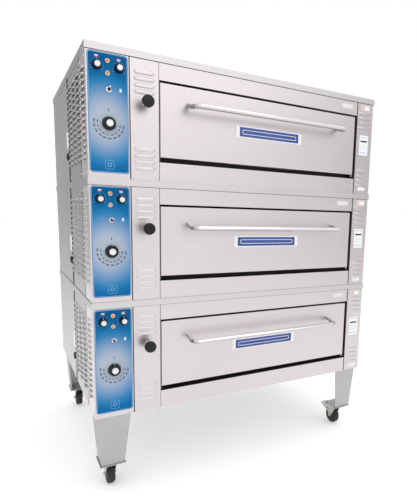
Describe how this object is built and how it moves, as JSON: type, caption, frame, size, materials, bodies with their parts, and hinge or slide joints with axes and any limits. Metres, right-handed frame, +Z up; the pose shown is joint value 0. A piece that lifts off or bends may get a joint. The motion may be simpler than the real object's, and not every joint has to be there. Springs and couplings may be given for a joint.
{
  "type": "deck oven",
  "caption": "Stacked electric deck oven with drop-down doors, side controls, pull dampers, louvred vents and a sheet-metal stand on swivel casters.",
  "frame": {"origin": "on the floor, at the middle of the bounding box of the whole oven", "axes": "+Z up, the doors face -Y, +X to the right of someone standing in front"},
  "size_m": [1.43, 1.1825, 1.822],
  "materials": {
    "stainless": "fine brushed stainless sheet",
    "liner_steel": "dull heat-stained sheet",
    "element_steel": "oxidised sheathed rod",
    "hearth_ceramic": "matt fired slab",
    "black_plastic": "glossy moulded",
    "leg_steel": "satin grey",
    "zinc": "zinc-plated pressing",
    "black_rubber": "matt black tread",
    "chrome": "bright plated",
    "blue_overlay": "printed film",
    "amber_lens": "moulded lens",
    "label_film": "printed label",
    "silver_cap": "satin moulded cap",
    "seal_fibre": "woven rope"
  },
  "bodies": {
    "oven": {"lower_casing": "stainless", "lower_chamber": "liner_steel", "lower_top_element": "element_steel", "lower_hearth": "hearth_ceramic", "lower_door_frame": "stainless", "lower_control_panel": "stainless", "lower_left_vent_panel": "stainless", "lower_right_vent_panel": "stainless", "middle_casing": "stainless", "middle_chamber": "liner_steel", "middle_top_element": "element_steel", "middle_hearth": "hearth_ceramic", "middle_door_frame": "stainless", "middle_control_panel": "stainless", "middle_left_vent_panel": "stainless", "middle_right_vent_panel": "stainless", "upper_casing": "stainless", "upper_chamber": "liner_steel", "upper_top_element": "element_steel", "upper_hearth": "hearth_ceramic", "upper_door_frame": "stainless", "upper_control_panel": "stainless", "upper_left_vent_panel": "stainless", "upper_right_vent_panel": "stainless", "front_left_leg": "leg_steel", "front_right_leg": "leg_steel", "rear_left_leg": "leg_steel", "rear_right_leg": "leg_steel"},
    "lower_door": {"lower_door": "stainless", "lower_door_handle": "stainless"},
    "lower_top_heat_knob": {"lower_top_heat_knob": "black_plastic"},
    "lower_bottom_heat_knob": {"lower_bottom_heat_knob": "black_plastic"},
    "lower_thermostat_knob": {"lower_thermostat_knob": "black_plastic"},
    "lower_power_toggle": {"lower_power_toggle": "chrome"},
    "lower_damper": {"lower_damper_knob": "black_plastic"},
    "middle_door": {"middle_door": "stainless", "middle_door_handle": "stainless"},
    "middle_top_heat_knob": {"middle_top_heat_knob": "black_plastic"},
    "middle_bottom_heat_knob": {"middle_bottom_heat_knob": "black_plastic"},
    "middle_thermostat_knob": {"middle_thermostat_knob": "black_plastic"},
    "middle_power_toggle": {"middle_power_toggle": "chrome"},
    "middle_damper": {"middle_damper_knob": "black_plastic"},
    "upper_door": {"upper_door": "stainless", "upper_door_handle": "stainless"},
    "upper_top_heat_knob": {"upper_top_heat_knob": "black_plastic"},
    "upper_bottom_heat_knob": {"upper_bottom_heat_knob": "black_plastic"},
    "upper_thermostat_knob": {"upper_thermostat_knob": "black_plastic"},
    "upper_power_toggle": {"upper_power_toggle": "chrome"},
    "upper_damper": {"upper_damper_knob": "black_plastic"},
    "front_left_caster": {"front_left_caster_fork": "zinc"},
    "front_left_wheel": {"front_left_wheel": "black_rubber"},
    "front_left_brake": {"front_left_brake_lever": "zinc"},
    "front_right_caster": {"front_right_caster_fork": "zinc"},
    "front_right_wheel": {"front_right_wheel": "black_rubber"},
    "front_right_brake": {"front_right_brake_lever": "zinc"},
    "rear_left_caster": {"rear_left_caster_fork": "zinc"},
    "rear_left_wheel": {"rear_left_wheel": "black_rubber"},
    "rear_right_caster": {"rear_right_caster_fork": "zinc"},
    "rear_right_wheel": {"rear_right_wheel": "black_rubber"}
  },
  "joints": [
    {"name": "lower_door_hinge", "type": "hinge", "parent": "oven", "child": "lower_door", "pos_m": [0.083, -0.48675, 0.4497], "axis": [1, 0, 0], "range_deg": [0, 90]},
    {"name": "lower_top_heat_knob_turn", "type": "hinge", "parent": "oven", "child": "lower_top_heat_knob", "pos_m": [-0.6723, -0.50075, 0.7663], "axis": [0, 1, 0], "range_deg": [0, 270]},
    {"name": "lower_bottom_heat_knob_turn", "type": "hinge", "parent": "oven", "child": "lower_bottom_heat_knob", "pos_m": [-0.592, -0.50075, 0.7663], "axis": [0, 1, 0], "range_deg": [0, 270]},
    {"name": "lower_thermostat_knob_turn", "type": "hinge", "parent": "oven", "child": "lower_thermostat_knob", "pos_m": [-0.632, -0.50075, 0.562], "axis": [0, 1, 0], "range_deg": [0, 300]},
    {"name": "lower_power_toggle_throw", "type": "hinge", "parent": "oven", "child": "lower_power_toggle", "pos_m": [-0.63, -0.50075, 0.686], "axis": [1, 0, 0], "range_deg": [0, 24]},
    {"name": "lower_damper_pull", "type": "slide", "parent": "oven", "child": "lower_damper", "axis": [0, -1, 0], "range_m": [-0.034, 0.03]},
    {"name": "middle_door_hinge", "type": "hinge", "parent": "oven", "child": "middle_door", "pos_m": [0.083, -0.48675, 0.9377], "axis": [1, 0, 0], "range_deg": [0, 90]},
    {"name": "middle_top_heat_knob_turn", "type": "hinge", "parent": "oven", "child": "middle_top_heat_knob", "pos_m": [-0.6723, -0.50075, 1.2543], "axis": [0, 1, 0], "range_deg": [0, 270]},
    {"name": "middle_bottom_heat_knob_turn", "type": "hinge", "parent": "oven", "child": "middle_bottom_heat_knob", "pos_m": [-0.592, -0.50075, 1.2543], "axis": [0, 1, 0], "range_deg": [0, 270]},
    {"name": "middle_thermostat_knob_turn", "type": "hinge", "parent": "oven", "child": "middle_thermostat_knob", "pos_m": [-0.632, -0.50075, 1.05], "axis": [0, 1, 0], "range_deg": [0, 300]},
    {"name": "middle_power_toggle_throw", "type": "hinge", "parent": "oven", "child": "middle_power_toggle", "pos_m": [-0.63, -0.50075, 1.174], "axis": [1, 0, 0], "range_deg": [0, 24]},
    {"name": "middle_damper_pull", "type": "slide", "parent": "oven", "child": "middle_damper", "axis": [0, -1, 0], "range_m": [-0.034, 0.03]},
    {"name": "upper_door_hinge", "type": "hinge", "parent": "oven", "child": "upper_door", "pos_m": [0.083, -0.48675, 1.4257], "axis": [1, 0, 0], "range_deg": [0, 90]},
    {"name": "upper_top_heat_knob_turn", "type": "hinge", "parent": "oven", "child": "upper_top_heat_knob", "pos_m": [-0.6723, -0.50075, 1.7423], "axis": [0, 1, 0], "range_deg": [0, 270]},
    {"name": "upper_bottom_heat_knob_turn", "type": "hinge", "parent": "oven", "child": "upper_bottom_heat_knob", "pos_m": [-0.592, -0.50075, 1.7423], "axis": [0, 1, 0], "range_deg": [0, 270]},
    {"name": "upper_thermostat_knob_turn", "type": "hinge", "parent": "oven", "child": "upper_thermostat_knob", "pos_m": [-0.632, -0.50075, 1.538], "axis": [0, 1, 0], "range_deg": [0, 300]},
    {"name": "upper_power_toggle_throw", "type": "hinge", "parent": "oven", "child": "upper_power_toggle", "pos_m": [-0.63, -0.50075, 1.662], "axis": [1, 0, 0], "range_deg": [0, 24]},
    {"name": "upper_damper_pull", "type": "slide", "parent": "oven", "child": "upper_damper", "axis": [0, -1, 0], "range_m": [-0.034, 0.03]},
    {"name": "front_left_caster_swivel", "type": "hinge", "parent": "oven", "child": "front_left_caster", "pos_m": [-0.638, -0.41975, 0.1217], "axis": [0, 0, 1], "continuous": true},
    {"name": "front_left_wheel_roll", "type": "hinge", "parent": "front_left_caster", "child": "front_left_wheel", "pos_m": [-0.638, -0.38775, 0.0445], "axis": [1, 0, 0], "continuous": true},
    {"name": "front_left_brake_release", "type": "hinge", "parent": "front_left_caster", "child": "front_left_brake", "pos_m": [-0.638, -0.36975, 0.0715], "axis": [1, 0, 0], "range_deg": [-12, 0]},
    {"name": "front_right_caster_swivel", "type": "hinge", "parent": "oven", "child": "front_right_caster", "pos_m": [0.638, -0.41975, 0.1217], "axis": [0, 0, 1], "continuous": true},
    {"name": "front_right_wheel_roll", "type": "hinge", "parent": "front_right_caster", "child": "front_right_wheel", "pos_m": [0.638, -0.38775, 0.0445], "axis": [1, 0, 0], "continuous": true},
    {"name": "front_right_brake_release", "type": "hinge", "parent": "front_right_caster", "child": "front_right_brake", "pos_m": [0.638, -0.36975, 0.0715], "axis": [1, 0, 0], "range_deg": [-12, 0]},
    {"name": "rear_left_caster_swivel", "type": "hinge", "parent": "oven", "child": "rear_left_caster", "pos_m": [-0.638, 0.51025, 0.1217], "axis": [0, 0, 1], "continuous": true},
    {"name": "rear_left_wheel_roll", "type": "hinge", "parent": "rear_left_caster", "child": "rear_left_wheel", "pos_m": [-0.638, 0.54225, 0.0445], "axis": [1, 0, 0], "continuous": true},
    {"name": "rear_right_caster_swivel", "type": "hinge", "parent": "oven", "child": "rear_right_caster", "pos_m": [0.638, 0.51025, 0.1217], "axis": [0, 0, 1], "continuous": true},
    {"name": "rear_right_wheel_roll", "type": "hinge", "parent": "rear_right_caster", "child": "rear_right_wheel", "pos_m": [0.638, 0.54225, 0.0445], "axis": [1, 0, 0], "continuous": true}
  ]
}
